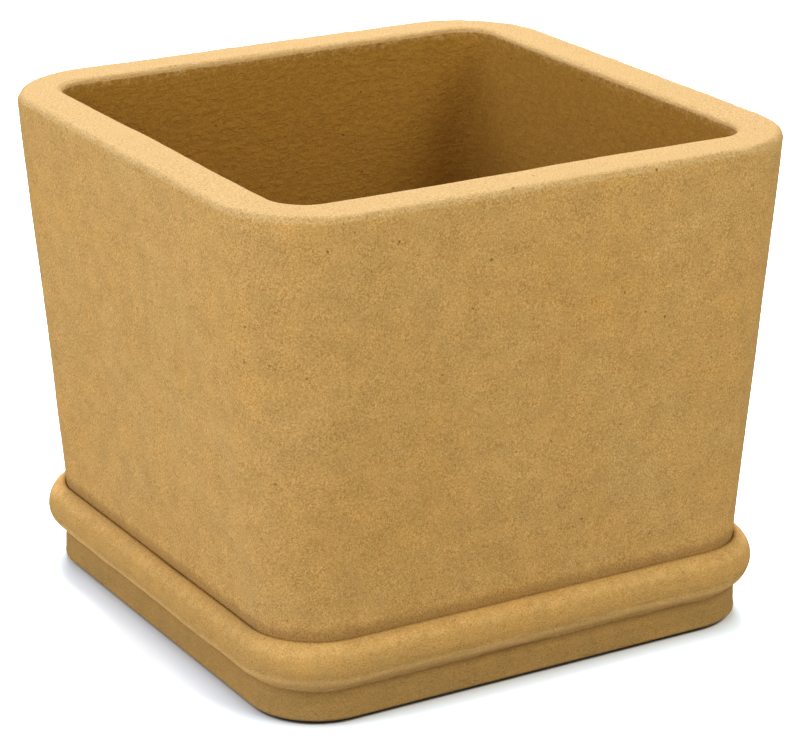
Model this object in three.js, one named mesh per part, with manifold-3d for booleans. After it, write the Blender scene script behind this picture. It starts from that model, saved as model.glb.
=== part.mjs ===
// A square, tapered plant pot of thick unglazed clay, standing in a close-fitting saucer.
// The saucer is a slab with a rolled rim, and stands on thin pads stuck under its corners.
// Millimetres, +Z up. The origin is on the ground, under the middle of the saucer.
import * as THREE from 'three';
import { mergeVertices } from 'three/addons/utils/BufferGeometryUtils.js';
import Module from 'manifold-3d';

const wasm = await Module();
wasm.setup();

// Driving dimensions of the pot
const potTopWidth = 150; // outside, over the rim
const potBaseWidth = 130.8; // outside, at the foot
const potHeight = 114.4;
const potTopCorner = 25.5; // outside corner radius at the rim
const potBaseCorner = 16; // outside corner radius at the foot
const wallThickness = 13.2;
const cavityCorner = 8.5; // corner radius of the inside
const floorThickness = 12;
const rimOuterRound = 2.2; // rounding of the rim's outer edge
const rimInnerRound = 1.6; // rounding of the rim's inner edge
const cavityCove = 6; // fillet between the inside wall and the floor
const footRound = 2.5; // rounding of the foot's outer edge

// Driving dimensions of the pot's underside
const footRingWidth = 16;
const footRecess = 3.5; // how far the underside is hollowed inside the foot ring
const recessCorner = 8; // corner radius of that hollow
const notchWidth = 18; // drain notch through each side of the foot ring
const notchCrown = 0.5; // clay left between the notch's top and the hollow's ceiling
const notchRound = 1.5;
const drainDiameter = 18;
const drainRound = 1.5; // rounding of the drain hole's two edges

// Driving dimensions of the saucer
const saucerFloor = 9.5;
const rollHeight = 14.1; // middle of the rolled rim, above the saucer's underside
const rollRadius = 6.6;
const rollProud = 4.9; // how far the roll stands out from the pot's wall
const plinthSetback = 4.1; // from the roll's outermost line in to the plinth's face
const plinthRound = 0.8; // rounding of the plinth's bottom edge
const lipRound = 0.6; // rounding where the roll turns down beside the pot
const fitGap = 0.4; // clearance between the pot's wall and the saucer

// Driving dimensions of the pads
const padDiameter = 18;
const padThickness = 1;
const padInset = 21; // from the plinth's face to the middle of a pad

// No corner is drawn tighter than this where two roundings meet
const tightestCorner = 0.5;

// How finely the round stretches are cut
const cornerSteps = 12;
const rollSteps = 12;
const edgeSteps = 4;
const smallEdgeSteps = 3;
const drainSteps = 48;
const padSteps = 32;

// How far a cutting solid runs past the faces that it cuts through
const cutBeyond = 1;

// Clay is warm yellow and matt; the pads are dark rubber
const clayLook = { color: 0xc0964f, roughness: 0.92, metalness: 0 };
const padLook = { color: 0x1c1a18, roughness: 0.85, metalness: 0 };

// A section is a rounded square at one height: half its width, its corner radius and z
const section = (half, radius, z) => ({ half, radius, z });

// The same section grown sideways by a distance, at another height
const grown = ({ half, radius }, by, z) => section(half + by, radius + by, z);

// The points round a section, anticlockwise seen from above
function ringPoints({ half, radius, z }) {
  const centre = half - radius;
  const outline = new THREE.Shape();
  outline.absarc(centre, centre, radius, 0, Math.PI / 2);
  outline.absarc(-centre, centre, radius, Math.PI / 2, Math.PI);
  outline.absarc(-centre, -centre, radius, Math.PI, 1.5 * Math.PI);
  outline.absarc(centre, -centre, radius, 1.5 * Math.PI, 2 * Math.PI);
  return outline.getPoints(cornerSteps / 2).map((point) => new THREE.Vector3(point.x, point.y, z));
}

// Skins a run of sections into a closed body, with a flat cap on the first and the last.
// The run goes outward along the underside, up the outside and down the inside.
function loft(sections) {
  const rings = sections.map(ringPoints);
  const count = rings[0].length;
  const underCentre = rings.length * count;
  const topCentre = underCentre + 1;
  const lastRing = (rings.length - 1) * count;
  const points = rings.flat();
  points.push(new THREE.Vector3(0, 0, sections[0].z));
  points.push(new THREE.Vector3(0, 0, sections.at(-1).z));
  const index = [];
  for (let point = 0; point < count; point++) {
    const next = (point + 1) % count;
    index.push(underCentre, next, point);
    index.push(topCentre, lastRing + point, lastRing + next);
    for (let low = 0; low < lastRing; low += count) {
      const high = low + count;
      index.push(low + point, low + next, high + next);
      index.push(low + point, high + next, high + point);
    }
  }
  const geometry = new THREE.BufferGeometry().setFromPoints(points);
  geometry.setIndex(index);
  return geometry;
}

// Angles from one to another in even steps, both ends included
function angles(from, to, steps) {
  return Array.from({ length: steps + 1 }, (_, step) => from + ((to - from) * step) / steps);
}

// Sections round an arc whose middle lies on a given section
function arcSections(middle, radius, from, to, steps) {
  return angles(from, to, steps).map((angle) =>
    grown(middle, radius * Math.cos(angle), middle.z + radius * Math.sin(angle)),
  );
}

// The directions that the arcs of a profile start and end at
const down = -Math.PI / 2;
const outward = 0;
const up = Math.PI / 2;
const inward = Math.PI;

// The solid of a closed mesh, with its shared corners merged
function solidOf(geometry) {
  const bare = geometry.clone();
  bare.deleteAttribute('normal');
  bare.deleteAttribute('uv');
  const merged = mergeVertices(bare);
  const vertProperties = new Float32Array(merged.attributes.position.array);
  const triVerts = new Uint32Array(merged.index.array);
  return new wasm.Manifold(new wasm.Mesh({ numProp: 3, vertProperties, triVerts }));
}

// A mesh's geometry from a solid
function geometryOf(solid) {
  const { vertProperties, triVerts } = solid.getMesh();
  const geometry = new THREE.BufferGeometry();
  geometry.setAttribute('position', new THREE.BufferAttribute(vertProperties, 3));
  geometry.setIndex(new THREE.BufferAttribute(triVerts, 1));
  return geometry;
}

function named(name, geometry, look) {
  const mesh = new THREE.Mesh(geometry, new THREE.MeshStandardMaterial(look));
  mesh.name = name;
  return mesh;
}

// The pot's outer face at a height above its foot
function potOutside(z) {
  const share = z / (potHeight - rimOuterRound);
  return section(
    THREE.MathUtils.lerp(potBaseWidth / 2, potTopWidth / 2, share),
    THREE.MathUtils.lerp(potBaseCorner, potTopCorner, share),
    z,
  );
}

// The pot's inner face: parallel to the outer one, with one corner radius all the way down
function potInside(z) {
  return section(potOutside(z).half - wallThickness, cavityCorner, z);
}

// The pot's closed shell, from the hollow under its floor round to the floor's top
function potShell() {
  const footOuter = potOutside(footRound);
  const ringInner = section(potOutside(0).half - footRingWidth, recessCorner, 0);
  const rimOuter = potOutside(potHeight - rimOuterRound);
  const rimInner = potInside(potHeight - rimInnerRound);
  const cavityFloor = footRecess + floorThickness;
  const cove = Math.min(cavityCove, cavityCorner - tightestCorner);
  const coveTop = potInside(cavityFloor + cove);
  return loft([
    { ...ringInner, z: footRecess },
    ringInner,
    ...arcSections(grown(footOuter, -footRound, footRound), footRound, down, outward, edgeSteps),
    ...arcSections(grown(rimOuter, -rimOuterRound, rimOuter.z), rimOuterRound, outward, up, edgeSteps),
    ...arcSections(grown(rimInner, rimInnerRound, rimInner.z), rimInnerRound, up, inward, edgeSteps),
    ...arcSections(grown(coveTop, -cove, coveTop.z), cove, outward, down, edgeSteps),
  ]);
}

// The drain hole as a solid to cut away, flared at both faces of the pot's floor
function drainCutter() {
  const hole = drainDiameter / 2;
  const flare = hole + drainRound;
  const low = footRecess;
  const high = footRecess + floorThickness;
  const rounding = (z, from, to) =>
    angles(from, to, smallEdgeSteps).map(
      (angle) => new THREE.Vector2(flare + drainRound * Math.cos(angle), z + drainRound * Math.sin(angle)),
    );
  const profile = [
    new THREE.Vector2(0, low - cutBeyond),
    new THREE.Vector2(flare, low - cutBeyond),
    ...rounding(low + drainRound, down, -inward),
    ...rounding(high - drainRound, inward, up),
    new THREE.Vector2(flare, high + cutBeyond),
    new THREE.Vector2(0, high + cutBeyond),
  ];
  return new THREE.LatheGeometry(profile, drainSteps).rotateX(Math.PI / 2);
}

// A bar with rounded top edges, which cuts the notches in two opposite sides of the foot ring
function notchCutter() {
  const side = notchWidth / 2;
  const top = footRecess - notchCrown;
  const below = -cutBeyond;
  const length = potBaseWidth + 2 * cutBeyond;
  const arch = new THREE.Shape();
  arch.moveTo(-side, below);
  arch.lineTo(side, below);
  arch.absarc(side - notchRound, top - notchRound, notchRound, outward, up);
  arch.absarc(-side + notchRound, top - notchRound, notchRound, up, inward);
  arch.closePath();
  const extrusion = { depth: length, bevelEnabled: false, curveSegments: smallEdgeSteps };
  const bar = new THREE.ExtrudeGeometry(arch, extrusion);
  return bar.rotateX(Math.PI / 2).translate(0, length / 2, 0);
}

function makePot() {
  const alongY = solidOf(notchCutter());
  const alongX = solidOf(notchCutter().rotateZ(Math.PI / 2));
  const solid = solidOf(potShell()).subtract(solidOf(drainCutter())).subtract(alongY).subtract(alongX);
  return named('pot', geometryOf(solid), clayLook);
}

// The line that the rolled rim is wound on, and the plinth's outline under it
function saucerOutline() {
  const closing = potOutside(rollHeight + rollRadius - saucerFloor);
  const rollMiddle = grown(closing, rollProud - rollRadius, rollHeight);
  const plinth = grown(rollMiddle, rollRadius - plinthSetback, 0);
  return { rollMiddle, plinth };
}

// The saucer: plinth, rolled rim, and a well that follows the pot's taper with the fit's clearance
function saucerShell() {
  const { rollMiddle, plinth } = saucerOutline();
  const well = (z) => grown(potOutside(z - saucerFloor), fitGap, z);

  // The lip is the small arc that touches both the roll, from inside, and the well's face.
  // The well leans only a little, so a few passes settle the lip's height.
  const reach = rollRadius - lipRound;
  const passes = 6;
  let lip = well(rollHeight + rollRadius);
  for (let pass = 0; pass < passes; pass++) {
    const across = lip.half + lipRound - rollMiddle.half;
    lip = well(rollHeight + Math.sqrt(reach ** 2 - across ** 2));
  }
  const lipMiddle = grown(lip, lipRound, lip.z);
  const rollEnd = Math.atan2(lip.z - rollHeight, lipMiddle.half - rollMiddle.half);
  const rollStart = -Math.acos((plinth.half - rollMiddle.half) / rollRadius);

  const plinthEdge = grown(plinth, -plinthRound, plinthRound);
  const coveTop = well(saucerFloor + footRound);
  return loft([
    ...arcSections(plinthEdge, plinthRound, down, outward, edgeSteps),
    ...arcSections(rollMiddle, rollRadius, rollStart, rollEnd, rollSteps),
    ...arcSections(lipMiddle, lipRound, rollEnd, inward, smallEdgeSteps).slice(1),
    ...arcSections(grown(coveTop, -footRound, coveTop.z), footRound, outward, down, smallEdgeSteps),
  ]);
}

function makeSaucer() {
  return named('saucer', saucerShell(), clayLook);
}

// Pads under the saucer's corners, which keep it from scratching and let it dry underneath
function makePads() {
  const reach = saucerOutline().plinth.half - padInset;
  const corners = [
    ['pad_front_left', -reach, -reach],
    ['pad_front_right', reach, -reach],
    ['pad_back_left', -reach, reach],
    ['pad_back_right', reach, reach],
  ];
  return corners.map(([name, x, y]) => {
    const radius = padDiameter / 2;
    const disc = new THREE.CylinderGeometry(radius, radius, padThickness, padSteps).rotateX(Math.PI / 2);
    const pad = named(name, disc, padLook);
    pad.position.set(x, y, padThickness / 2);
    return pad;
  });
}

// The saucer stands on its pads, and the pot on the saucer's floor
const saucer = makeSaucer();
saucer.position.z = padThickness;
const pot = makePot();
pot.position.z = padThickness + saucerFloor;

const assembly = new THREE.Group();
assembly.add(pot, saucer, ...makePads());

export default assembly;
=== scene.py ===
# %% [markdown]
# # A square clay plant pot in its saucer
# This file dresses a finished construction model of a plant pot. The model already has every piece at its
# real size, so what is left to make is the look: fine surfaces that are a little uneven, as pressed clay
# is, and materials with sand, pits and worn edges in them. The work goes in small steps, and each step
# first says what the thing is on the real object and why it is made in this way.

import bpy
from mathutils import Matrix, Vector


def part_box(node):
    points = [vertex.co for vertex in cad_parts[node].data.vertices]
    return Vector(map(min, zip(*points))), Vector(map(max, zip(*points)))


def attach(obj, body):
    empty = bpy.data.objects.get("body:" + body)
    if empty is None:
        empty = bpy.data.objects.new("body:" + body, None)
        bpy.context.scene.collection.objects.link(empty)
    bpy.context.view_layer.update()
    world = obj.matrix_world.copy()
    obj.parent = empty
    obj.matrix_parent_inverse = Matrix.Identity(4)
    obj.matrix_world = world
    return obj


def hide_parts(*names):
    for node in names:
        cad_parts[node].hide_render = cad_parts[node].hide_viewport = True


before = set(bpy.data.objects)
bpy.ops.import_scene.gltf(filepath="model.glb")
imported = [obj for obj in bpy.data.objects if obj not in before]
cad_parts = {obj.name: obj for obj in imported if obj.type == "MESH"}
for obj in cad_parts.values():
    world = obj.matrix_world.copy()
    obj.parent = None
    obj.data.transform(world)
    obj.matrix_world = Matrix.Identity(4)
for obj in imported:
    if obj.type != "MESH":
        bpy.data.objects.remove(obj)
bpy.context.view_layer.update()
print("Nodes in the model:", ", ".join(sorted(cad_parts)))

# %% Libraries and units
import math

import bmesh
import bpy
import numpy as np
from mathutils import Vector, noise

mm = 0.001
print("Lengths are in metres, and a millimetre is", mm)

# %% [markdown]
# ## The camera
# The photograph was taken from in front and to the left of one corner, a little above the rim, with a
# long lens that keeps the upright edges almost parallel. The camera comes first, because every later
# look at a surface is judged through it. Its place was worked out from the outlines in the photograph.

# %% Set up the camera
camera_place = Vector((-373.2, -640.2, 321.8)) * mm
camera_heading = math.radians(30.48)  # from straight along +Y, turned towards +X
camera_dip = math.radians(19.77)  # below the horizon
camera_lens = 139.9  # on a sensor 36 mm wide

camera_data = bpy.data.cameras.new("camera")
camera_data.lens = camera_lens
camera_data.clip_start = 10 * mm
camera_data.clip_end = 20
camera = bpy.data.objects.new("camera", camera_data)
camera.location = camera_place
camera.rotation_euler = (math.pi / 2 - camera_dip, 0, -camera_heading)
bpy.context.scene.collection.objects.link(camera)
bpy.context.scene.camera = camera
bpy.context.scene.view_settings.view_transform = "Standard"
print("Camera", round(camera_place.length, 3), "m from the foot of the pot")

# %% [markdown]
# ## Sizes
# The widths and heights come from the model's own boxes. A box says nothing about how round a corner is
# or how thick a wall is, so those sizes are named here, with the same values as in the model.

# %% Measure the model
pot_low, pot_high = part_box("pot")
saucer_low, saucer_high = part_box("saucer")
pot_height = pot_high.z - pot_low.z
rim_half = pot_high.x
roll_half = saucer_high.x
print("Pot", round(pot_height / mm, 1), "mm high, rim half width", round(rim_half / mm, 1), "mm")
print("Saucer half width", round(roll_half / mm, 1), "mm")

# %% Sizes of the pot that its box doesn't show
foot_half = 65.4 * mm
rim_corner = 25.5 * mm
foot_corner = 16 * mm
wall = 13.2 * mm
cavity_corner = 8.5 * mm
floor_thickness = 12 * mm
rim_outer_round = 2.2 * mm
rim_inner_round = 1.6 * mm
cavity_cove = 6 * mm
foot_round = 2.5 * mm
foot_ring = 16 * mm
foot_recess = 3.5 * mm
recess_corner = 8 * mm
recess_round = 1 * mm
notch_half = 9 * mm
notch_height = 3 * mm
notch_blend = 1.5 * mm
drain_radius = 9 * mm
drain_round = 1.5 * mm
print("Inside width at the rim", round(2 * (rim_half - wall) / mm, 1), "mm")

# %% Sizes of the saucer that its box doesn't show
saucer_floor = pot_low.z - saucer_low.z
roll_middle_height = 14.1 * mm
roll_radius = 6.6 * mm
plinth_setback = 4.1 * mm
plinth_round = 0.8 * mm
lip_round = 0.8 * mm
seen_gap = 0.02 * mm  # clay dust fills most of the gap round the pot
print("Saucer floor", round(saucer_floor / mm, 1), "mm thick")

# %% [markdown]
# ## Sections
# Both clay pieces are square with rounded corners at every height, so each can be described by a run of
# level sections: half the width, the corner's radius, and the height. A run goes along the piece's
# profile, through its flats and its rounded edges. Modelling it by hand from a cube would work too, but
# a run of sections gives even faces everywhere and holds the real sizes exactly.


# %% Sections, and runs of them
def grown(section, by, z):
    """The section made wider all round, at another height."""
    half, corner, _ = section
    return (half + by, corner + by, z)


def line(start, end, step):
    """Sections on a straight run, without the last one."""
    span = math.hypot(end[0] - start[0], end[2] - start[2])
    count = max(1, math.ceil(span / step))
    return [tuple(np.add(start, np.subtract(end, start) * (i / count))) for i in range(count)]


def arc(middle, radius, start, end, step):
    """Sections round an arc of the profile, from one angle to another."""
    count = max(2, math.ceil(abs(end - start) * radius / step))
    angles = [start + (end - start) * i / count for i in range(count + 1)]
    return [grown(middle, radius * math.cos(a), middle[2] + radius * math.sin(a)) for a in angles]


down, outward, up, inward = -math.pi / 2, 0.0, math.pi / 2, math.pi
print("A quarter arc of 2 mm in steps of 0.5 mm has", len(arc((1, 1, 0), 2, outward, up, 0.5)), "sections")

# %% [markdown]
# ## From sections to a mesh
# Each section becomes a ring with the same number of points, spaced evenly, so a ring that goes from
# square to round, as round the drain hole, twists nowhere. The rings are joined by four-sided faces.
# numpy does the sums for all points at once, which a loop over points would do far more slowly.


# %% Rings of points
def ring_points(sections, count):
    """An array of rings, each with its points evenly spaced round a rounded square."""
    half, corner, z = (np.array(sections).T)[:, :, None]
    flat = half - corner
    quarter = 2 * flat + corner * math.pi / 2
    place = np.arange(count) * 4 / count
    side = np.floor(place)
    along = (place - side) * quarter
    angle = np.clip((along - flat) / corner, 0, math.pi / 2)
    x = np.where(angle < math.pi / 2, flat + corner * np.cos(angle), quarter - along)
    y = np.where(angle > 0, flat + corner * np.sin(angle), along)
    turn = side * math.pi / 2
    across = x * np.cos(turn) - y * np.sin(turn)
    ahead = x * np.sin(turn) + y * np.cos(turn)
    return np.stack([across, ahead, np.broadcast_to(z, across.shape)], axis=2)


def outward_normals(rings, closed):
    """The direction that the surface faces at each point of the rings."""
    round_ring = np.roll(rings, -1, axis=1) - np.roll(rings, 1, axis=1)
    if closed:
        along_profile = np.roll(rings, -1, axis=0) - np.roll(rings, 1, axis=0)
    else:
        along_profile = np.gradient(rings, axis=0)
    facing = np.cross(round_ring, along_profile)
    return facing / np.maximum(np.linalg.norm(facing, axis=2, keepdims=True), 1e-12)


test_ring = ring_points([(50 * mm, 10 * mm, 0)], 64)[0]
print("Test ring reaches", round(test_ring[:, 0].max() / mm, 2), "mm")


# %% A mesh object from rings
def mesh_from_rings(name, rings, closed, marks, capped_first=True):
    """Joins rings into a mesh. A closed run meets itself; an open one is capped at its ends."""
    levels, count = rings.shape[:2]
    points = rings.reshape(-1, 3)
    steps = levels if closed else levels - 1
    low = np.arange(steps)[:, None] * count
    high = (np.arange(steps)[:, None] + 1) % levels * count
    here = np.arange(count)[None, :]
    there = (here + 1) % count
    faces = np.stack([low + here, low + there, high + there, high + here], axis=2).reshape(-1, 4)
    faces = faces.tolist()
    if not closed:
        last = (levels - 1) * count
        faces.append(list(range(last, last + count)))
    if not closed and capped_first:
        faces.append(list(range(count - 1, -1, -1)))
    mesh = bpy.data.meshes.new(name)
    mesh.from_pydata(points, [], faces)
    for mark, values in marks.items():
        kept = mesh.attributes.new(mark, "FLOAT", "POINT")
        kept.data.foreach_set("value", values.astype(np.float32).ravel())
    mesh.shade_smooth()
    piece = bpy.data.objects.new(name, mesh)
    bpy.context.scene.collection.objects.link(piece)
    print(name, "has", len(mesh.vertices), "points and", len(mesh.polygons), "faces")
    return piece


# %% [markdown]
# ## Unevenness
# Clay that was pressed in a mould and wiped by hand is never quite flat. The unevenness here only ever
# goes into the clay, so the piece stays inside the model's box and keeps clear of its neighbour. Noise is
# added at a few scales: a slow swell, shallow dents, and small nicks where an edge is worn. A displace
# modifier could do it, but then the flat faces that must touch could not be left true so simply.


# %% Noise over points
seed_shift = np.array([17.3, 5.9, 11.1])  # each seed reads another part of the noise
noise_gain = 1.6  # plain noise seldom passes 0.6 either way


def waves(points, size, seed, stretch=(1, 1, 1)):
    """Smooth noise from -1 to 1 at each point, with swells about as wide as size."""
    shifted = points.reshape(-1, 3) / np.array(stretch) / size + seed * seed_shift
    values = [noise.noise(Vector(point)) for point in shifted]
    return np.clip(np.array(values) * noise_gain, -1, 1).reshape(points.shape[:-1])


def hollows(points, depth, size, seed, stretch=(1, 1, 1)):
    """How far the clay is sunk at each point, from nothing to twice the depth."""
    return depth * (1 + waves(points, size, seed, stretch))


def step_between(value, low, high):
    """0 below low and 1 above high, with a soft change between them."""
    share = np.clip((value - low) / (high - low), 0, 1)
    return share * share * (3 - 2 * share)


def near_ring(order, ring, width):
    """1 at one ring of a run, and less at the rings beside it. width is a number of rings."""
    return np.exp(-(((order - ring) / width) ** 2))


print("Noise at one point:", round(float(waves(np.zeros((1, 3)), 1, 1)[0]), 3))

# %% [markdown]
# ## The pot
# The pot is one thick shell. Its run of sections starts under the floor beside the drain hole, goes out
# along the hollow underside, over the foot ring, up the tapered outside, over the flat rim, down the
# inside, across the floor and back through the drain hole. The rim has the shortest steps, because its
# edges are what the eye looks at first.


# %% The pot's outline at any height
def pot_outside(z):
    """The pot's outer section at a height above its foot."""
    share = z / (pot_height - rim_outer_round)
    half = foot_half + (rim_half - foot_half) * share
    corner = foot_corner + (rim_corner - foot_corner) * share
    return (half, corner, z)


def pot_inside(z):
    """The pot's inner section: parallel to the outer one, with the same corner all the way down."""
    return (pot_outside(z)[0] - wall, cavity_corner, z)


print("Half width at mid height", round(pot_outside(pot_height / 2)[0] / mm, 1), "mm")

# %% The arcs of the pot's profile
cove_step = 1.2 * mm
rim_step = 0.45 * mm
edge_step = 0.6 * mm

foot_middle = grown(pot_outside(foot_round), -foot_round, foot_round)
foot_arc = arc(foot_middle, foot_round, down, outward, edge_step)
rim_out = pot_outside(pot_height - rim_outer_round)
rim_out_arc = arc(grown(rim_out, -rim_outer_round, rim_out[2]), rim_outer_round, outward, up, rim_step)
rim_in = pot_inside(pot_height - rim_inner_round)
rim_in_arc = arc(grown(rim_in, rim_inner_round, rim_in[2]), rim_inner_round, up, inward, rim_step)
cavity_floor_height = foot_recess + floor_thickness
cove_top = pot_inside(cavity_floor_height + cavity_cove)
cove_arc = arc(grown(cove_top, -cavity_cove, cove_top[2]), cavity_cove, outward, down, cove_step)

flare = drain_radius + drain_round
drain_top_middle = (flare, flare, cavity_floor_height - drain_round)
drain_top = arc(drain_top_middle, drain_round, up, inward, edge_step)
drain_foot_middle = (flare, flare, foot_recess + drain_round)
drain_foot = arc(drain_foot_middle, drain_round, inward, inward + up, edge_step)

ring_inner = (foot_half - foot_ring, recess_corner, 0)
recess_top_middle = grown(ring_inner, -recess_round, foot_recess - recess_round)
recess_top = arc(recess_top_middle, recess_round, up, outward, edge_step)
recess_foot_middle = grown(ring_inner, recess_round, recess_round)
recess_foot = arc(recess_foot_middle, recess_round, inward, inward + up, edge_step)
print("The rim's outer edge has", len(rim_out_arc), "sections")

# %% The pot's run of sections
wall_step = 3.0 * mm
crease_step = 0.9 * mm
inside_step = 3.6 * mm
floor_step = 4 * mm

crease_height = saucer_high.z - pot_low.z
crease_foot = pot_outside(crease_height - 2 * mm)  # the sections lie closer from here
crease_head = pot_outside(crease_height + 6 * mm)  # up to here

pot_sections = (
    line(drain_foot[-1], recess_top[0], floor_step)
    + recess_top
    + recess_foot
    + line(recess_foot[-1], foot_arc[0], wall_step)[1:]
    + foot_arc
    + line(foot_arc[-1], crease_foot, wall_step)[1:]
    + line(crease_foot, crease_head, crease_step)
    + line(crease_head, rim_out_arc[0], wall_step)
    + rim_out_arc
    + line(rim_out_arc[-1], rim_in_arc[0], rim_step * 2)[1:]
    + rim_in_arc
    + line(rim_in_arc[-1], cove_arc[0], inside_step)[1:]
    + cove_arc
    + line(cove_arc[-1], drain_top[0], floor_step)[1:]
    + drain_top
    + drain_foot[:-1]
)
print("The pot has", len(pot_sections), "sections")

# %% Where the parts of the pot start and end
ring_count = 600
pot_rings = ring_points(pot_sections, ring_count)
pot_facing = outward_normals(pot_rings, closed=True)
pot_half, _, pot_z = (np.array(pot_sections).T)[:, :, None]

order = np.arange(len(pot_sections))[:, None]
foot_start = pot_sections.index(foot_arc[0])
rim_start = pot_sections.index(rim_out_arc[0])
inner_start = pot_sections.index(rim_in_arc[0])
rim_end = pot_sections.index(rim_in_arc[-1])
is_outside = (order >= foot_start) & (order < rim_start)
is_inside = order > rim_end
print("Rim runs from section", rim_start, "to", rim_end)

# %% Where the pot gets painted light and painted shade, inside and out
painted_light_until = 2.1 * mm  # below the top
painted_light_fully = 0.9 * mm
dark_before = 2.3 * mm  # the rim darkens this far before its inner edge
dark_fully = 7 * mm  # and takes this way to reach the full colour of the inside
dark_least = 0.6  # of that colour, everywhere below the rim
outer_edge_rings = 6  # the rings of the outer edge, which never darken
painted_shade_reach = 4.8 * mm  # above the crease
painted_low_shade_reach = 5 * mm  # below the crease

# The rim's inner edge and the inside are darkened with painted shade in the cavity.
past_edge = np.maximum(pot_height - pot_z, 0) + (rim_in_arc[0][0] - pot_half)
inside_mark = np.clip((past_edge + dark_before) / dark_fully, 0, 1) * (order > rim_start + outer_edge_rings)
inside_mark = np.where(is_inside, np.maximum(inside_mark, dark_least), inside_mark)
# The rim's top and outer rounding are paler: painted light from above, with a frayed edge.
rim_mark = step_between(pot_z, pot_height - painted_light_until, pot_height - painted_light_fully)
rim_mark = rim_mark * (order >= rim_start) * (order <= rim_end)
outer_edge_mark = near_ring(order, ring=rim_start + 3, width=4.5)
inner_edge_mark = near_ring(order, ring=rim_end - 2, width=3.0)
# The wall just above the crease is darkened with painted shade, where the roll shades it.
painted_crease_shade_mark = is_outside * np.clip(1 - (pot_z - crease_height) / painted_shade_reach, 0, 1)
# Below the crease, where the saucer hides it, the pot is darkened with painted shade.
painted_low_shade_mark = (order < rim_start) * (1 - step_between(pot_z, crease_height - painted_low_shade_reach, crease_height))
print("The rim darkens from", round(dark_before / mm, 1), "mm before its inner edge")

# %% Make the pot uneven
chip_depth = 0.6 * mm
chip_least = 0.45  # only the highest waves break a chip out
foot_true = 0.2 * mm  # the foot is left true up to here
foot_uneven = 3 * mm  # and is fully uneven from here
crease_spread = 5 * mm
crease_hold = 0.95  # how far the wall is held true by the crease, so that the gap stays even

swell = hollows(pot_rings, depth=0.16 * mm, size=48 * mm, seed=1)
dents = hollows(pot_rings, depth=0.05 * mm, size=13 * mm, seed=2)
inner_dents = hollows(pot_rings, depth=0.14 * mm, size=13 * mm, seed=3, stretch=(1.5, 1.5, 1))
inner_dents = inner_dents * (order > inner_start)
nicks = hollows(pot_rings, depth=0.11 * mm, size=6 * mm, seed=4)
fine_nicks = hollows(pot_rings, depth=0.10 * mm, size=2.8 * mm, seed=5)
chips = chip_depth * np.maximum(0, waves(pot_rings, size=4 * mm, seed=12) - chip_least)
inner_nicks = hollows(pot_rings, depth=0.08 * mm, size=4 * mm, seed=13) * inner_edge_mark
near_crease = is_outside * np.exp(-(((pot_z - crease_height) / crease_spread) ** 2))
slack = step_between(pot_z, foot_true, foot_uneven) * (1 - crease_hold * near_crease)
sunk = (swell + dents + inner_dents + inner_nicks + (nicks + fine_nicks + chips) * outer_edge_mark) * slack
pot_rings = pot_rings - pot_facing * sunk[:, :, None]
print("The pot is sunk by", round(sunk.max() / mm, 2), "mm at most")

# %% Raise the notches under the foot
notch_reach = 9 * mm  # the height over which a notch dies out on the outside
from_side_middle = np.minimum(np.abs(pot_rings[:, :, 0]), np.abs(pot_rings[:, :, 1]))
in_notch = 1 - step_between(from_side_middle, notch_half - notch_blend, notch_half + notch_blend / 2)
near_foot = np.where(is_outside, 1 - step_between(pot_z, 0, notch_reach), 1.0)
near_foot = np.where(is_inside, 0, near_foot)
near_foot = near_foot * (pot_half > ring_inner[0] - recess_round)
room_above = np.where(is_outside, 1, np.clip(1 - pot_z / foot_recess, 0, 1))
pot_rings[:, :, 2] += notch_height * in_notch * near_foot * room_above * (pot_z < notch_reach)
print("Four notches,", round(notch_height / mm, 1), "mm high")

# %% Build the pot
pot_rings[:, :, 2] += pot_low.z
spread = np.ones((1, ring_count))
pot = mesh_from_rings(
    "clay_pot",
    pot_rings,
    closed=True,
    marks={
        "painted_light_and_polish": rim_mark * spread,
        "painted_shade": painted_crease_shade_mark * spread,
        "inside": inside_mark * spread,
        "painted_low_shade": painted_low_shade_mark * spread,
    },
)

# %% [markdown]
# ## The saucer
# The saucer is a slab with a half-round rolled rim that closes up against the pot. The run of sections
# starts in the middle of the underside, goes round the slab's edge, up its short upright face, round the
# roll, over a small lip and down into the well that the pot stands in. The roll was finished by hand, so
# it is the most uneven part of the whole object.

# %% The roll, and the lip that closes up against the pot
roll_half_middle = roll_half - roll_radius
closing = pot_outside(roll_middle_height + roll_radius - saucer_floor)
roll_middle = (roll_half_middle, closing[1] + roll_half_middle - closing[0], roll_middle_height)
plinth = grown(roll_middle, roll_radius - plinth_setback, 0)


def well(z):
    """The saucer's inside at a height above its underside: the pot's outside and a little room."""
    return grown(pot_outside(z - saucer_floor), seen_gap, z)


# The lip lies inside the roll and beside the pot's sloping wall. Where it lies decides how wide the wall
# is there, and that decides where it lies, so the height is found in a few rounds.
lip_height = roll_middle_height + roll_radius
for _ in range(6):
    lip_across = well(lip_height)[0] + lip_round - roll_middle[0]
    lip_height = roll_middle_height + math.sqrt((roll_radius - lip_round) ** 2 - lip_across**2)
lip_middle = grown(well(lip_height), lip_round, lip_height)
roll_end = math.atan2(lip_height - roll_middle_height, lip_middle[0] - roll_middle[0])
roll_start = -math.acos((plinth[0] - roll_middle[0]) / roll_radius)
print("The lip is", round(lip_height / mm, 1), "mm above the saucer's underside")

# %% The saucer's run of sections
plinth_step = 0.7 * mm
roll_step = 0.5 * mm
lip_step = 0.2 * mm
well_step = 0.9 * mm
middle = (6 * mm, 6 * mm)  # a small round patch closes the saucer's faces

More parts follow.
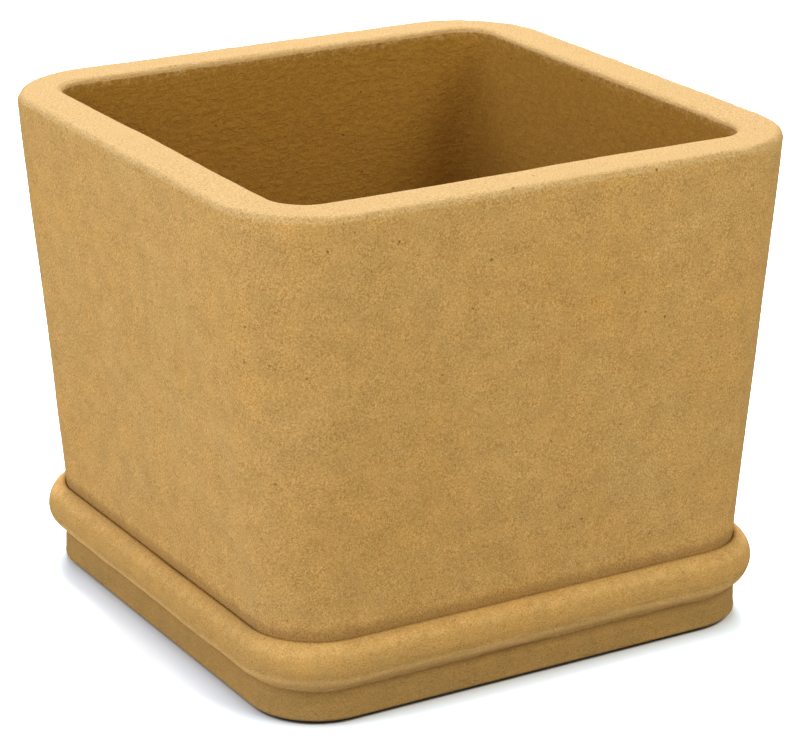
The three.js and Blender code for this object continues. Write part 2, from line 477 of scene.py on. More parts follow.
plinth_arc = arc(grown(plinth, -plinth_round, plinth_round), plinth_round, down, outward, edge_step)
roll_arc = arc(roll_middle, roll_radius, roll_start, roll_end, roll_step)
lip_arc = arc(lip_middle, lip_round, roll_end, inward, lip_step)
well_top = well(saucer_floor + foot_round)
well_arc = arc(grown(well_top, -foot_round, well_top[2]), foot_round, outward, down, edge_step)
saucer_sections = (
    line((*middle, 0), plinth_arc[0], floor_step)
    + plinth_arc
    + line(plinth_arc[-1], roll_arc[0], plinth_step)[1:]
    + roll_arc
    + lip_arc[1:]
    + line(lip_arc[-1], well_arc[0], well_step)[1:]
    + well_arc
    + line(well_arc[-1], (*middle, saucer_floor), floor_step)[1:]
    + [(*middle, saucer_floor)]
)
print("The saucer has", len(saucer_sections), "sections")

# %% Where the parts of the saucer start and end
saucer_rings = ring_points(saucer_sections, ring_count)
saucer_facing = outward_normals(saucer_rings, closed=False)
_, _, saucer_z = (np.array(saucer_sections).T)[:, :, None]
saucer_order = np.arange(len(saucer_sections))[:, None]
roll_first = saucer_sections.index(roll_arc[0])
lip_first = saucer_sections.index(lip_arc[1])
lip_last = saucer_sections.index(lip_arc[-1])
is_roll = (saucer_order >= roll_first) & (saucer_order < lip_first)
is_well = saucer_order > lip_last
print("Roll runs from section", roll_first, "to", lip_first)

# %% Where the saucer gets painted light and painted shade
crown_painted_light = 0.45
crown_above = 4.5 * mm  # the roll's middle
crown_spread = 2.5 * mm
belly_fully = 9.3 * mm  # the underside of the roll is pale up to this height
belly_until = 14.5 * mm
join_reach = 1.8 * mm  # below the roll
lip_shade = 0.65
lip_rings = 2.6

# The roll's crown and its underside are paler: painted light, on the crown from above and underneath from
# the floor.
crown_mark = crown_painted_light * np.exp(-(((saucer_z - roll_middle_height - crown_above) / crown_spread) ** 2))
roll_mark = is_roll * (crown_mark + 1 - step_between(saucer_z, belly_fully, belly_until))
plinth_mark = saucer_order <= roll_first
below_join = saucer_sections[roll_first][2] - saucer_z
under_roll = np.exp(-np.maximum(below_join, 0) / join_reach) * plinth_mark
# The plinth just under the roll and the roll beside the lip take painted shade from these marks.
lip_mark = np.exp(-np.abs(saucer_order - lip_first) / lip_rings)
print("The shade under the roll reaches about", round(join_reach / mm, 1), "mm down")

# %% Make the saucer uneven
edge_true = 0.05 * mm  # the underside is left true up to here
edge_uneven = 2 * mm  # and the face is fully uneven from here
well_share = 0.25  # of the unevenness, in the well
lip_hold = 0.7  # how far the lip is held true
face_waves = hollows(saucer_rings, depth=0.14 * mm, size=18 * mm, seed=8)
face_waves = face_waves + hollows(saucer_rings, depth=0.05 * mm, size=6 * mm, seed=9)
roll_waves = hollows(saucer_rings, depth=0.2 * mm, size=24 * mm, seed=6)
roll_waves = roll_waves + hollows(saucer_rings, depth=0.1 * mm, size=8 * mm, seed=7)
lip_nicks = hollows(saucer_rings, depth=0.12 * mm, size=4 * mm, seed=10)
join_waves = hollows(saucer_rings, depth=0.3 * mm, size=12 * mm, seed=11)

free_face = step_between(saucer_z, edge_true, edge_uneven) * np.where(is_well, well_share, 1)
free_face = np.where(is_well & (saucer_z < saucer_floor + foot_round), 0, free_face)
free_face = free_face * (1 - lip_hold * near_ring(saucer_order, ring=lip_first, width=5.0))
saucer_sunk = np.where(is_roll, roll_waves, face_waves) + lip_nicks * lip_mark + join_waves * under_roll
saucer_rings = saucer_rings - saucer_facing * (saucer_sunk * free_face)[:, :, None]
print("The saucer is sunk by", round((saucer_sunk * free_face).max() / mm, 2), "mm at most")

# %% Build the saucer
saucer_rings[:, :, 2] += saucer_low.z
saucer = mesh_from_rings(
    "clay_saucer",
    saucer_rings,
    closed=False,
    marks={
        # Painted light on the roll's crown and underside.
        "painted_light_and_polish": roll_mark * spread,
        # Painted shade under the roll and beside the lip.
        "painted_shade": np.maximum(under_roll, lip_mark * lip_shade) * spread,
        "inside": is_well * spread,
        # Painted shade on the plinth under the overhanging roll.
        "painted_low_shade": plinth_mark * spread,
    },
)

# %% [markdown]
# ## The pads
# Thin round pads are stuck under the saucer's corners. Each is turned from a profile, with a rounded edge
# and three shallow grip rings underneath, because a bare disc would look like a coin.


# %% Turn one pad
def pad_profile(radius, thickness):
    """Radius and height down the pad, from the middle of its top to the middle of its underside."""
    rounding = 0.3 * mm
    rounding_steps = 4
    top_taper = 0.1 * mm
    ring_depth = 0.15 * mm
    ring_floor = 0.35 * mm  # half the width of a grip ring where it is deepest
    ring_mouth = 1.6 * ring_floor
    profile = [(0, thickness), (radius * 0.5, thickness), (radius - top_taper, thickness)]
    for i in range(rounding_steps + 1):
        angle = math.pi / 2 * i / rounding_steps
        edge = radius - rounding + rounding * math.cos(angle)
        profile.append((edge, rounding - rounding * math.sin(angle)))
    for share in (0.8, 0.6, 0.4):
        ring = radius * share
        profile += [(ring + ring_mouth, 0), (ring + ring_floor, ring_depth)]
        profile += [(ring - ring_floor, ring_depth), (ring - ring_mouth, 0)]
    profile.append((0, 0))
    return profile


def turned(name, profile, place, count):
    """A closed solid turned from a profile whose first and last points are on the axis."""
    shape = bmesh.new()
    angles = [2 * math.pi * i / count for i in range(count)]
    top = shape.verts.new(place + Vector((0, 0, profile[0][1])))
    foot = shape.verts.new(place + Vector((0, 0, profile[-1][1])))
    rings = []
    for radius, z in profile[1:-1]:
        points = [place + Vector((radius * math.cos(a), radius * math.sin(a), z)) for a in angles]
        rings.append([shape.verts.new(point) for point in points])
    for i in range(count):
        j = (i + 1) % count
        shape.faces.new((top, rings[0][i], rings[0][j]))
        shape.faces.new((foot, rings[-1][j], rings[-1][i]))
        for above, below in zip(rings, rings[1:]):
            shape.faces.new((above[i], below[i], below[j], above[j]))
    mesh = bpy.data.meshes.new(name)
    shape.to_mesh(mesh)
    shape.free()
    mesh.set_sharp_from_angle(angle=math.radians(40))
    piece = bpy.data.objects.new(name, mesh)
    bpy.context.scene.collection.objects.link(piece)
    return piece


# %% Make the four pads
pad_points = 72
pads = {}
for node in sorted(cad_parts):
    if not node.startswith("pad_"):
        continue
    low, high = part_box(node)
    radius = (high.x - low.x) / 2
    place = Vector(((low.x + high.x) / 2, (low.y + high.y) / 2, low.z))
    pads[node] = turned("rubber_" + node, pad_profile(radius, high.z - low.z), place, pad_points)
print("Made", len(pads), "pads")

# %% [markdown]
# ## Building materials
# A material is a tree of nodes. Writing each node and link out takes many lines, so a few small helpers
# come first. Each one places a node and joins or sets its inputs. The effects that both clays share are
# then made as groups, which put out masks and heights, and each material mixes them in its own amounts.


# %% Helpers for node trees
def place_node(tree, kind, inputs=None, **settings):
    """Adds a node. An input that is given a socket is linked, and any other value is set."""
    made = tree.nodes.new(kind)
    for name, value in settings.items():
        setattr(made, name, value)
    for name, value in (inputs or {}).items():
        if isinstance(value, bpy.types.NodeSocket):
            tree.links.new(value, made.inputs[name])
        else:
            made.inputs[name].default_value = value
    return made


def maths(tree, operation, first, second=0.0, third=0.0):
    """The output of a Math node."""
    inputs = {0: first, 1: second, 2: third}
    return place_node(tree, "ShaderNodeMath", inputs, operation=operation).outputs[0]


def fade(tree, value, low, high, low_to=0.0, high_to=1.0):
    """Changes softly from low_to to high_to as value goes from low to high."""
    inputs = {"Value": value, "From Min": low, "From Max": high, "To Min": low_to, "To Max": high_to}
    made = place_node(tree, "ShaderNodeMapRange", inputs, interpolation_type="SMOOTHSTEP")
    return made.outputs["Result"]


def blended(tree, share, first, second, blend_type="MIX"):
    """The colour output of a Mix node."""
    inputs = {0: share, 6: first, 7: second}
    made = place_node(tree, "ShaderNodeMix", inputs, data_type="RGBA", blend_type=blend_type)
    return made.outputs[2]


print("Helpers ready")


# %% Helpers for groups
def new_group(name, inputs, outputs):
    """An empty group with named sockets. Returns the group and the nodes at its two ends."""
    group = bpy.data.node_groups.new(name, "ShaderNodeTree")
    for socket, (kind, value) in inputs.items():
        made = group.interface.new_socket(socket, in_out="INPUT", socket_type=kind)
        if value is not None:
            made.default_value = value
    for socket in outputs:
        group.interface.new_socket(socket, in_out="OUTPUT", socket_type="NodeSocketFloat")
    return group, group.nodes.new("NodeGroupInput"), group.nodes.new("NodeGroupOutput")


def use_group(tree, group, inputs):
    """Places a group in a tree and returns its outputs."""
    return place_node(tree, "ShaderNodeGroup", inputs, node_tree=group).outputs


def divided(tree, place, across, upright):
    """A place divided by one length across and by another upright."""
    lengths = place_node(tree, "ShaderNodeCombineXYZ", {"X": across, "Y": across, "Z": upright})
    inputs = {0: place, 1: lengths.outputs["Vector"]}
    return place_node(tree, "ShaderNodeVectorMath", inputs, operation="DIVIDE").outputs["Vector"]


def noise_value(tree, place, scale, detail, roughness=0.5, distortion=0.0, shift=None):
    """The value of a noise. A shift cuts it from another part of the same endless noise."""
    inputs = {"Vector": place, "Scale": scale, "Detail": detail}
    inputs |= {"Roughness": roughness, "Distortion": distortion}
    if shift is None:
        return place_node(tree, "ShaderNodeTexNoise", inputs).outputs["Fac"]
    inputs["W"] = shift
    return place_node(tree, "ShaderNodeTexNoise", inputs, noise_dimensions="4D").outputs["Fac"]


number, vector = "NodeSocketFloat", "NodeSocketVector"
noise_range = (0.25, 0.75)  # most of a noise lies between these
wide_range = (0.2, 0.8)
print("Group helpers ready")


# %% Helpers for materials
def new_material(name):
    """A material with an empty tree. Returns the material and its tree."""
    material = bpy.data.materials.new(name)
    material.use_nodes = True
    material.node_tree.nodes.clear()
    return material, material.node_tree


def place_in_millimetres(tree):
    """The place on the piece, in its own axes and in millimetres."""
    coordinates = place_node(tree, "ShaderNodeTexCoord")
    inputs = {0: coordinates.outputs["Object"], 1: (1 / mm,) * 3}
    return place_node(tree, "ShaderNodeVectorMath", inputs, operation="MULTIPLY").outputs["Vector"]


def surface(tree, colour, roughness, height):
    """Joins a colour, a roughness and a height in millimetres to the material's surface."""
    bump = place_node(tree, "ShaderNodeBump", {"Strength": 1.0, "Distance": mm, "Height": height})
    inputs = {"Base Color": colour, "Roughness": roughness, "Normal": bump.outputs["Normal"]}
    shader = place_node(tree, "ShaderNodeBsdfPrincipled", inputs)
    place_node(tree, "ShaderNodeOutputMaterial", {"Surface": shader.outputs["BSDF"]})
    return shader


print("Material helpers ready")

# %% [markdown]
# ## Sand grain
# The clay holds fine sand. From a step away it shows as a grain of light and dark points, a little under
# half a millimetre across, which is stronger in some patches and smoother in others. The group takes a
# place in millimetres, so its sizes can be read as real ones. Noise suits this better than a Voronoi
# pattern, which would show round cells.

# %% Group: sand grain
grain_group, ends_in, ends_out = new_group(
    "Sand grain",
    {"Place": (vector, None), "Size": (number, 0.8), "Upright": (number, 1.0), "Patchiness": (number, 0.5)},
    ["Height", "Flecks", "Specks"],
)
upright_size = maths(grain_group, "MULTIPLY", ends_in.outputs["Size"], ends_in.outputs["Upright"])
scaled = divided(grain_group, ends_in.outputs["Place"], ends_in.outputs["Size"], upright_size)
even_grain = noise_value(grain_group, scaled, 1.0, detail=3.0, roughness=0.7, distortion=0.3, shift=0.0)
coarse_areas = noise_value(grain_group, scaled, 0.11, detail=2.0, roughness=0.7, shift=5.3)
coarse_areas = fade(grain_group, coarse_areas, 0.32, 0.68)
lessening = maths(grain_group, "MULTIPLY", ends_in.outputs["Patchiness"], coarse_areas)
strength = maths(grain_group, "SUBTRACT", 1.0, lessening)
from_middle = maths(grain_group, "SUBTRACT", even_grain, 0.5)
grain_height = maths(grain_group, "MULTIPLY_ADD", from_middle, strength, 0.5)
grain_group.links.new(grain_height, ends_out.inputs["Height"])
for outlet, scale, low, high, shift in (("Flecks", 1.1, 0.60, 0.74, 3.7), ("Specks", 0.9, 0.61, 0.74, 9.2)):
    found = noise_value(grain_group, scaled, scale, detail=1.0, roughness=0.7, distortion=0.5, shift=shift)
    found = maths(grain_group, "MULTIPLY", fade(grain_group, found, low, high), strength)
    grain_group.links.new(found, ends_out.inputs[outlet])
print("Group", grain_group.name, "has", len(grain_group.nodes), "nodes")

# %% [markdown]
# ## Pits
# Small holes are left where grit fell out or a bubble broke. A Voronoi pattern gives a random point in
# each cell of space. Where such a point lies near the surface, the clay is scooped out round it, so the
# pits come in many sizes without a second pattern. Only some of the cells hold a pit.

# %% Group: pits
pit_group, ends_in, ends_out = new_group(
    "Pits",
    {"Place": (vector, None), "Spacing": (number, 4.0), "Size": (number, 0.8), "Share": (number, 0.5)},
    ["Mask"],
)
cell_scale = maths(pit_group, "DIVIDE", 1.0, ends_in.outputs["Spacing"])
cell_inputs = {"Vector": ends_in.outputs["Place"], "Scale": cell_scale, "Randomness": 1.0}
cells = place_node(pit_group, "ShaderNodeTexVoronoi", cell_inputs)
raggedness = noise_value(pit_group, ends_in.outputs["Place"], scale=1.9, detail=1.0)
raggedness = fade(pit_group, raggedness, *wide_range, low_to=-0.15, high_to=0.2)  # millimetres
gap = maths(pit_group, "MULTIPLY", cells.outputs["Distance"], ends_in.outputs["Spacing"])
gap = maths(pit_group, "ADD", gap, raggedness)
bottom = maths(pit_group, "MULTIPLY", ends_in.outputs["Size"], 0.1)
edge = maths(pit_group, "MULTIPLY", ends_in.outputs["Size"], 0.5)
hollow = fade(pit_group, gap, bottom, edge, 1.0, 0.0)
chosen = place_node(pit_group, "ShaderNodeSeparateColor", {"Color": cells.outputs["Color"]})
held = maths(pit_group, "LESS_THAN", chosen.outputs["Red"], ends_in.outputs["Share"])
pit_group.links.new(maths(pit_group, "MULTIPLY", hollow, held), ends_out.inputs["Mask"])
print("Group", pit_group.name, "has", len(pit_group.nodes), "nodes")

# %% [markdown]
# ## Mottle
# The colour of fired clay drifts from place to place, because the kiln and the drying were uneven. Three
# sizes of soft patches do this: broad ones a few centimetres wide, a drift of about a centimetre between
# tan and orange, and small ones that differ in depth.

# %% Group: mottle
mottle_group, ends_in, ends_out = new_group(
    "Mottle",
    {"Place": (vector, None), "Broad": (number, 45.0), "Drift": (number, 13.0), "Small": (number, 6.0)},
    ["Broad patches", "Drift patches", "Small patches"],
)
for inlet, detail, shift in (("Broad", 2.0, 1.3), ("Drift", 2.0, 8.4), ("Small", 4.0, 6.1)):
    patch_scale = maths(mottle_group, "DIVIDE", 1.0, ends_in.outputs[inlet])
    patches = noise_value(mottle_group, ends_in.outputs["Place"], patch_scale, detail, shift=shift)
    patches = fade(mottle_group, patches, *noise_range)
    mottle_group.links.new(patches, ends_out.inputs[inlet + " patches"])
print("Group", mottle_group.name, "has", len(mottle_group.nodes), "nodes")

# %% [markdown]
# ## Wipe marks
# The inside of the pot and the rolled rim were wiped level with a wet sponge, which leaves long, shallow,
# level marks. They are noise that is squeezed in height and stretched along the walls. With a short
# length the same group gives the small lumps that the clay keeps on the inside.

# %% Group: wipe marks
wipe_group, ends_in, ends_out = new_group(
    "Wipe marks",
    {"Place": (vector, None), "Length": (number, 14.0), "Width": (number, 1.6)},
    ["Height"],
)
wipe_length, wipe_width = ends_in.outputs["Length"], ends_in.outputs["Width"]
squeezed = divided(wipe_group, ends_in.outputs["Place"], wipe_length, wipe_width)
wiped = noise_value(wipe_group, squeezed, 1.0, detail=3.0, roughness=0.55, distortion=0.5)
wipe_group.links.new(fade(wipe_group, wiped, *noise_range), ends_out.inputs["Height"])
print("Group", wipe_group.name, "has", len(wipe_group.nodes), "nodes")

# %% [markdown]
# ## Ragged masks
# The meshes carry marks that say where light or shade is painted on a surface, and where it is inside. Used
# as they are, their edges would be too even. This group frays the edge of any such mark with noise.

# %% Group: ragged mask
fray_group, ends_in, ends_out = new_group(
    "Ragged mask",
    {"Mark": (number, 0.0), "Place": (vector, None), "Grain": (number, 2.0), "Fray": (number, 0.5)},
    ["Mask"],
)
fray_scale = maths(fray_group, "DIVIDE", 1.0, ends_in.outputs["Grain"])
fray_noise = noise_value(fray_group, ends_in.outputs["Place"], fray_scale, detail=3.0, roughness=0.6)
shift = maths(fray_group, "SUBTRACT", fray_noise, 0.5)
frayed = maths(fray_group, "MULTIPLY_ADD", shift, ends_in.outputs["Fray"], ends_in.outputs["Mark"])
fray_group.links.new(fade(fray_group, frayed, *wide_range), ends_out.inputs["Mask"])
print("Group", fray_group.name, "has", len(fray_group.nodes), "nodes")

# %% [markdown]
# ## The clay
# Pot and saucer are of the same unglazed clay, so one function makes both materials from the groups, with
# values of their own. The colour is built in layers: the body of the clay and its drift, the darker inside
# as painted shade, painted shade in the crease, under the roll and low on the plinth, and a paler colour on
# the rim and the roll that is painted light, where the clay is also a little polished. The sand lies over
# all of these as a gain, and the pits come last. The heights are in millimetres, and one Bump node turns
# them into slopes.


# %% The effects that a clay mixes
mark_edges = {"painted_shade": (2.5, 0.5), "inside": (1.5, 0.7), "painted_low_shade": (2.0, 0.2)}  # grain in mm, fray
lump_shape = {"Length": 2.2, "Width": 1.2}


def clay_effects(tree, looks):
    """The masks and heights that the clay's colour and relief are mixed from."""
    place = place_in_millimetres(tree)
    effects = {}
    edges = mark_edges | {"painted_light_and_polish": (looks["pale_edge_grain"], looks["pale_edge_fray"])}
    for label, (grain, fray) in edges.items():
        found = place_node(tree, "ShaderNodeAttribute", attribute_name=label).outputs["Fac"]
        inputs = {"Mark": found, "Place": place, "Grain": grain, "Fray": fray}
        effects[label] = use_group(tree, fray_group, inputs)["Mask"]

    grain_inputs = {"Place": place, "Size": looks["grain_size"], "Upright": looks["grain_upright"]}
    grain_inputs["Patchiness"] = looks["grain_patchiness"]
    effects["grain"] = use_group(tree, grain_group, grain_inputs)
    pit_inputs = {"Place": place, "Spacing": looks["pit_spacing"], "Size": looks["pit_size"]}
    pit_inputs["Share"] = looks["pit_share"]
    effects["pits"] = use_group(tree, pit_group, pit_inputs)["Mask"]
    effects["mottle"] = use_group(tree, mottle_group, {"Place": place})
    effects["wipe"] = use_group(tree, wipe_group, {"Place": place})["Height"]
    effects["lumps"] = use_group(tree, wipe_group, {"Place": place} | lump_shape)["Height"]

    contrast = maths(tree, "MULTIPLY_ADD", effects["painted_light_and_polish"], -looks["wear_smooth"], 1.0)
    effects["contrast"] = maths(tree, "MULTIPLY_ADD", effects["inside"], -looks["inside_smooth"], contrast)
    return effects


print("Marks with frayed edges:", ", ".join(mark_edges))


# %% The colour of the clay
sand_range = (0.3, 0.7)  # of the grain's height, from the darkest sand to the palest


def clay_colour(tree, effects, looks):
    """The colour in layers, from the body of the clay up to the sand and the pits."""
    grain, mottle, inside = effects["grain"], effects["mottle"], effects["inside"]

    def laid_over(colour, mask, amount, paint):
        return blended(tree, maths(tree, "MULTIPLY", mask, amount), colour, paint)

    colour = blended(tree, mottle["Broad patches"], looks["body_cool"], looks["body_warm"])
    colour = laid_over(colour, mottle["Drift patches"], looks["drift_amount"], looks["drift"])
    colour = laid_over(colour, mottle["Small patches"], looks["small_patches"], looks["patch"])
    # Painted shade: the inside of the pot and the saucer's well are darker.
    colour = laid_over(colour, inside, looks["inside_amount"], looks["inside"])
    stained = fade(tree, effects["lumps"], *wide_range, *looks["inside_stain"])
    colour = blended(tree, inside, colour, stained, "MULTIPLY")
    # Painted shade low down: the plinth under the roll and the pot below the crease.
    colour = blended(tree, effects["painted_low_shade"], colour, looks["painted_low_shade_gain"], "MULTIPLY")
    # Painted shade: darker in the crease, under the roll and beside the lip.
    colour = laid_over(colour, effects["painted_shade"], looks["painted_shade_amount"], looks["painted_shade_colour"])
    # Painted light: the pale rim, and the pale crown and underside of the roll.
    colour = laid_over(colour, effects["painted_light_and_polish"], looks["painted_light_amount"], looks["painted_light_and_polish"])

    sand = fade(tree, grain["Height"], *sand_range)
    sand_shade = blended(tree, sand, looks["sand_dark"], looks["sand_pale"])
    colour = blended(tree, effects["contrast"], colour, sand_shade, "MULTIPLY")
    for outlet, gain in (("Flecks", looks["fleck_gain"]), ("Specks", looks["speck_gain"])):
        found = maths(tree, "MULTIPLY", grain[outlet], effects["contrast"])
        colour = blended(tree, found, colour, gain, "MULTIPLY")
    # The pits are darkened with painted shade in the holes.
    return laid_over(colour, effects["pits"], looks["pit_shade"], looks["pit"])


print("Sand goes from dark to pale over", sand_range)


# %% The relief of the clay
point_share = 0.3  # how far flecks and specks stand out, as a share of the grain's relief


def clay_relief(tree, effects, looks):
    """The height of the surface in millimetres."""
    grain, inside = effects["grain"], effects["inside"]
    point_relief = point_share * looks["grain_relief"]
    height = maths(tree, "MULTIPLY", grain["Height"], looks["grain_relief"])
    height = maths(tree, "MULTIPLY_ADD", grain["Flecks"], point_relief, height)
    height = maths(tree, "MULTIPLY_ADD", grain["Specks"], -point_relief, height)
    height = maths(tree, "MULTIPLY", height, effects["contrast"])
    height = maths(tree, "MULTIPLY_ADD", effects["pits"], -looks["pit_depth"], height)
    small_patches = effects["mottle"]["Small patches"]
    height = maths(tree, "MULTIPLY_ADD", small_patches, looks["patch_relief"], height)
    wiped = maths(tree, "MULTIPLY_ADD", inside, 1 - looks["wipe_outside"], looks["wipe_outside"])
    wipe_height = maths(tree, "MULTIPLY", effects["wipe"], looks["wipe_relief"])
    height = maths(tree, "MULTIPLY_ADD", wipe_height, wiped, height)
    lump_height = maths(tree, "MULTIPLY", effects["lumps"], looks["lump_relief"])
    return maths(tree, "MULTIPLY_ADD", lump_height, inside, height)


print("Flecks and specks stand out by", point_share, "of the grain's relief")


# %% Clay material
roughest, smoothest = 0.96, 0.86  # between the grains, and on them
worn_polish = 0.1
clay_gloss = 0.3


def clay_material(name, looks):
    """Unglazed clay. looks holds the colours and amounts for one piece."""
    material, tree = new_material(name)
    effects = clay_effects(tree, looks)
    roughness = fade(tree, effects["grain"]["Height"], *sand_range, roughest, smoothest)
    roughness = maths(tree, "MULTIPLY_ADD", effects["painted_light_and_polish"], -worn_polish, roughness)
    shader = surface(tree, clay_colour(tree, effects, looks), roughness, clay_relief(tree, effects, looks))
    shader.inputs["Specular IOR Level"].default_value = clay_gloss
    print(name, "has", len(tree.nodes), "nodes")
    return material


# %% The two clays
# Colours are linear. Each gain multiplies the colour under it. Sizes and reliefs are in millimetres.
pot_looks = {
    "body_cool": (0.646, 0.386, 0.125, 1),
    "body_warm": (0.664, 0.369, 0.103, 1),
    "drift": (0.674, 0.358, 0.085, 1),
    "drift_amount": 0.5,
    "patch": (0.500, 0.289, 0.086, 1),
    "small_patches": 0.6,
    "grain_size": 0.42,
    "grain_upright": 1.1,
    "grain_patchiness": 0.45,
    "sand_dark": (0.73, 0.62, 0.30, 1),
    "sand_pale": (1.28, 1.40, 1.74, 1),
    "grain_relief": 0.2,
    "fleck_gain": (1.18, 1.30, 1.8, 1),
    "speck_gain": (0.70, 0.57, 0.30, 1),
    "pit_spacing": 6.0,
    "pit_size": 0.9,
    "pit_share": 0.6,
    "pit_shade": 0.75,
    "pit_depth": 0.25,
    "pit": (0.17, 0.08, 0.02, 1),
    "patch_relief": 0.10,
    "wipe_outside": 0.15,
    "wipe_relief": 0.06,
    # The colour of the painted shade inside the pot.
    "inside": (0.342, 0.164, 0.016, 1),
    "inside_amount": 0.95,
    "inside_stain": (0.94, 1.06),
    "inside_smooth": 0.35,
    "lump_relief": 0.22,
    # The gain of the painted shade low down.
    "painted_low_shade_gain": (0.74, 0.75, 0.75, 1),
    # The colour of the painted shade in the crease and under the roll.
    "painted_shade_colour": (0.30, 0.15, 0.035, 1),
    "painted_shade_amount": 0.55,
    # The colour of the painted light on the rim.
    "painted_light_and_polish": (0.630, 0.394, 0.149, 1),
    "painted_light_amount": 0.9,
    "pale_edge_grain": 1.1,
    "pale_edge_fray": 1.1,
    "wear_smooth": 0.1,
}
saucer_looks = pot_looks | {
    "body_cool": (0.588, 0.338, 0.099, 1),
    "body_warm": (0.615, 0.335, 0.088, 1),
    "grain_upright": 0.8,
    "sand_dark": (0.80, 0.71, 0.46, 1),
    "sand_pale": (1.20, 1.30, 1.56, 1),
    "wipe_outside": 0.8,
    "wipe_relief": 0.12,
    "inside_amount": 0.3,
    # The painted light on the saucer's roll is paler still.
    "painted_light_and_polish": (0.840, 0.505, 0.170, 1),
    "painted_light_amount": 1.0,
    "pale_edge_grain": 2.5,
    "pale_edge_fray": 0.5,
}
pot.data.materials.append(clay_material("pot_clay", pot_looks))
saucer.data.materials.append(clay_material("saucer_clay", saucer_looks))


# %% [markdown]
# ## The rubber
# The pads are dark rubber, a little dusty. They take the same grain and mottle groups as the clay, at
# much smaller amounts, so a close look from below finds a surface and not a flat black.


# %% Rubber material
rubber_dark = (0.010, 0.009, 0.008, 1)
rubber_pale = (0.020, 0.018, 0.015, 1)
rubber_dust = (0.12, 0.09, 0.05, 1)
rubber_dust_amount = 0.35
rubber_relief = 0.05
rubber_grain = {"Size": 0.4}
rubber_mottle = {"Small": 3.0}
rubber_roughness = (0.65, 0.85)


def rubber_material(name):
    """Dark rubber with a little dust on it."""
    material, tree = new_material(name)
    place = place_in_millimetres(tree)
    grain = use_group(tree, grain_group, {"Place": place} | rubber_grain)
    patches = use_group(tree, mottle_group, {"Place": place} | rubber_mottle)["Small patches"]
    colour = blended(tree, patches, rubber_dark, rubber_pale)
    dust = maths(tree, "MULTIPLY", grain["Flecks"], rubber_dust_amount)
    colour = blended(tree, dust, colour, rubber_dust)
    height = maths(tree, "MULTIPLY", grain["Height"], rubber_relief)
    surface(tree, colour, fade(tree, patches, 0.0, 1.0, *rubber_roughness), height)
    print(name, "has", len(tree.nodes), "nodes")
    return material


rubber = rubber_material("pad_rubber_look")
for pad in pads.values():
    pad.data.materials.append(rubber)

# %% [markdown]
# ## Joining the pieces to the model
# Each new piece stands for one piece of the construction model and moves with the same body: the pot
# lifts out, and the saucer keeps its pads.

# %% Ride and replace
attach(pot, "pot")
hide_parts("pot")
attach(saucer, "saucer")
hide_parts("saucer")
for node, pad in pads.items():
    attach(pad, "saucer")
    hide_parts(node)

# %% [markdown]
# ## Floor
# The photograph has a white ground, a dark line where the saucer stands a millimetre clear of it, and a
# soft shadow a few millimetres wide round the saucer. A plain white square would lose most of that,
# because the lamps reach far under the rolled rim. So the floor is made of rings that follow the saucer's
# outline, with a mark that goes from shaded to open, and the colour that the camera sees follows the mark.
# The light that the floor throws back at the clay is set apart from it.

# %% The floor's rings
floor_width = 6.0
floor_points = 240
shadow_reach = 8 * mm  # beyond the saucer's foot
shadow_start = -0.7 * mm
gap_dark = -1.7 * mm  # under the saucer, where the gap is at its darkest
gap_share = 0.47  # how open the floor is at the saucer's foot

outer_steps = (500, 50, 20, 12, 8, 6.5, 5, 4, 3, 2, 1.2, 0.4)  # mm beyond the saucer's foot
under_steps = (-0.4, -0.7, -1, -1.2, -1.4, -1.7, -2.5, -5, -12)  # and under the saucer
beyond = np.array([(floor_width / 2 - plinth[0]) / mm, *outer_steps, *under_steps]) * mm
floor_rings = ring_points([grown(plinth, step, 0) for step in beyond], floor_points)
# The open mark paints shade into the floor: a near-black line under the saucer's edge and a soft shadow a
# few millimetres wide round it, over the real shadow.
open_mark = gap_share * step_between(beyond, gap_dark, shadow_start)
open_mark = open_mark + (1 - gap_share) * np.clip((beyond - shadow_start) / shadow_reach, 0, 1)
floor = mesh_from_rings(
    "floor",
    floor_rings,
    closed=False,
    marks={"open": open_mark[:, None] * np.ones((1, floor_points))},
    capped_first=False,
)
print("Floor", floor_width, "m wide, with", len(beyond), "rings")

# %% The floor's material
floor_open = (2.06, 2.08, 2.1, 1)
floor_shaded = (0.13, 0.13, 0.13, 1)
floor_tint = (0.905, 1.0, 1.1, 1)  # against the warm light that the clay throws on it
floor_foot = (1.03, 1.0, 0.95, 1)  # right at the saucer's foot, where the light is bluer
foot_until = 0.62  # the openness at which floor_tint has taken over from floor_foot
floor_thrown = (0.35, 0.35, 0.35, 1)

floor_material, floor_tree = new_material("floor_white")
path = place_node(floor_tree, "ShaderNodeLightPath")
openness = place_node(floor_tree, "ShaderNodeAttribute", attribute_name="open").outputs["Fac"]
away = fade(floor_tree, openness, gap_share, foot_until)
# The camera sees this painted shadow, from floor_shaded under the saucer to floor_open away from it.
floor_seen = blended(floor_tree, openness, floor_shaded, floor_open)
floor_tinted = blended(floor_tree, away, floor_foot, floor_tint)
floor_seen = blended(floor_tree, 1.0, floor_seen, floor_tinted, "MULTIPLY")
floor_colour = blended(floor_tree, path.outputs["Is Camera Ray"], floor_thrown, floor_seen)
floor_shader = place_node(floor_tree, "ShaderNodeBsdfDiffuse", {"Color": floor_colour})
place_node(floor_tree, "ShaderNodeOutputMaterial", {"Surface": floor_shader.outputs["BSDF"]})
floor.data.materials.append(floor_material)
print("The floor's material has", len(floor_tree.nodes), "nodes")

# %% [markdown]
# ## Light
# The pot stood in a light tent, a box of white cloth that is lit from outside. The cloth at table height
# is the brightest part of it, and the top is open. So the sky here is bright at the horizon and dark
# above, and four big soft lamps stand for the lit sides: two on the left, one in front on the right, and
# one high behind, which gives the rim its pale top.

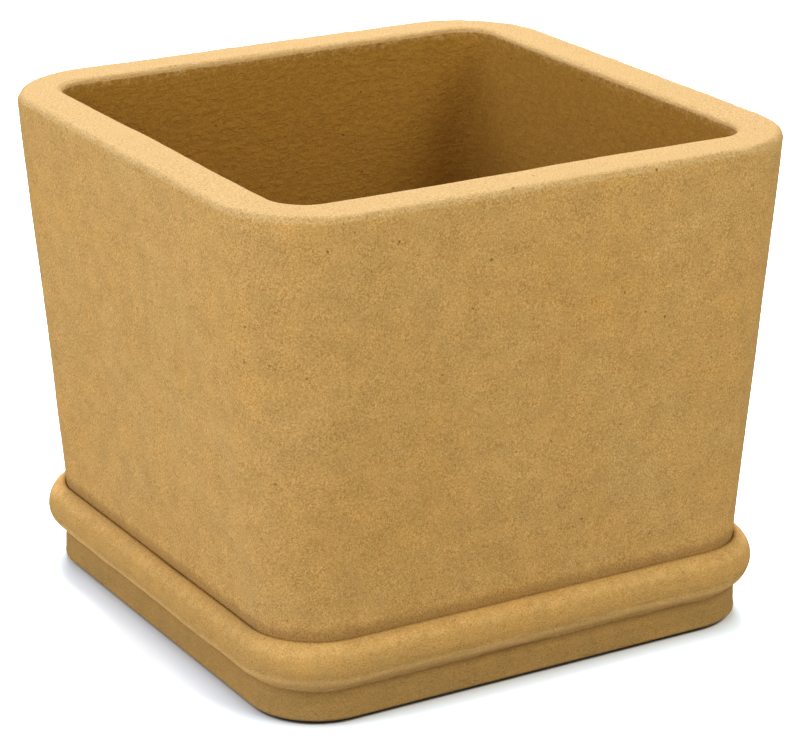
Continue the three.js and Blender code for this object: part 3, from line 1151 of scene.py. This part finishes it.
# %% The sky
sky_colour = (1.0, 1.0, 1.0, 1)
sky_at_horizon = 0.446
sky_dark_from = 0.7  # how high the light reaches, as the sine of its angle
world = bpy.data.worlds.new("studio")
bpy.context.scene.world = world
world.use_nodes = True
world_tree = world.node_tree
world_tree.nodes.clear()
world_path = place_node(world_tree, "ShaderNodeLightPath")
direction = place_node(world_tree, "ShaderNodeTexCoord").outputs["Generated"]
upward = place_node(world_tree, "ShaderNodeSeparateXYZ", {"Vector": direction}).outputs["Z"]
ramp = {"Value": upward, "From Max": sky_dark_from, "To Min": sky_at_horizon, "To Max": 0.0}
strength = place_node(world_tree, "ShaderNodeMapRange", ramp).outputs["Result"]
sky_light = place_node(world_tree, "ShaderNodeBackground", {"Color": sky_colour, "Strength": strength})
sky_white = place_node(world_tree, "ShaderNodeBackground", {"Color": (1, 1, 1, 1), "Strength": 1.0})
sky = place_node(
    world_tree,
    "ShaderNodeMixShader",
    {0: world_path.outputs["Is Camera Ray"], 1: sky_light.outputs[0], 2: sky_white.outputs[0]},
)
place_node(world_tree, "ShaderNodeOutputWorld", {"Surface": sky.outputs[0]})
print("World made")


# %% The lamps
lamp_width = 0.9
# Each lamp's place, power in watts and colour.
lamps = {
    "low_left": ((-1.4, -0.65, 0.5), 8.2, (1, 1, 1)),
    "side_left": ((-1.45, 0.3, 0.9), 15.3, (0.805, 0.873, 1)),
    "front_right": ((0.6, -1.2, 1.1), 17.5, (0.98, 1, 0.95)),
    "high_behind": ((0.5, 1.1, 1.3), 35, (1, 1, 1)),
}


def soft_lamp(name, place, power, colour):
    """A broad area lamp that faces the middle of the pot."""
    lamp_data = bpy.data.lights.new(name, "AREA")
    lamp_data.shape = "RECTANGLE"
    lamp_data.size = lamp_width
    lamp_data.size_y = lamp_width
    lamp_data.energy = power
    lamp_data.color = colour
    lamp = bpy.data.objects.new(name, lamp_data)
    lamp.location = place
    aim = Vector((0, 0, pot_high.z / 2)) - lamp.location
    lamp.rotation_euler = aim.to_track_quat("-Z", "Y").to_euler()
    bpy.context.scene.collection.objects.link(lamp)


for name, (place, power, colour) in lamps.items():
    soft_lamp(name, place, power, colour)
print("Made", len(lamps), "lamps")
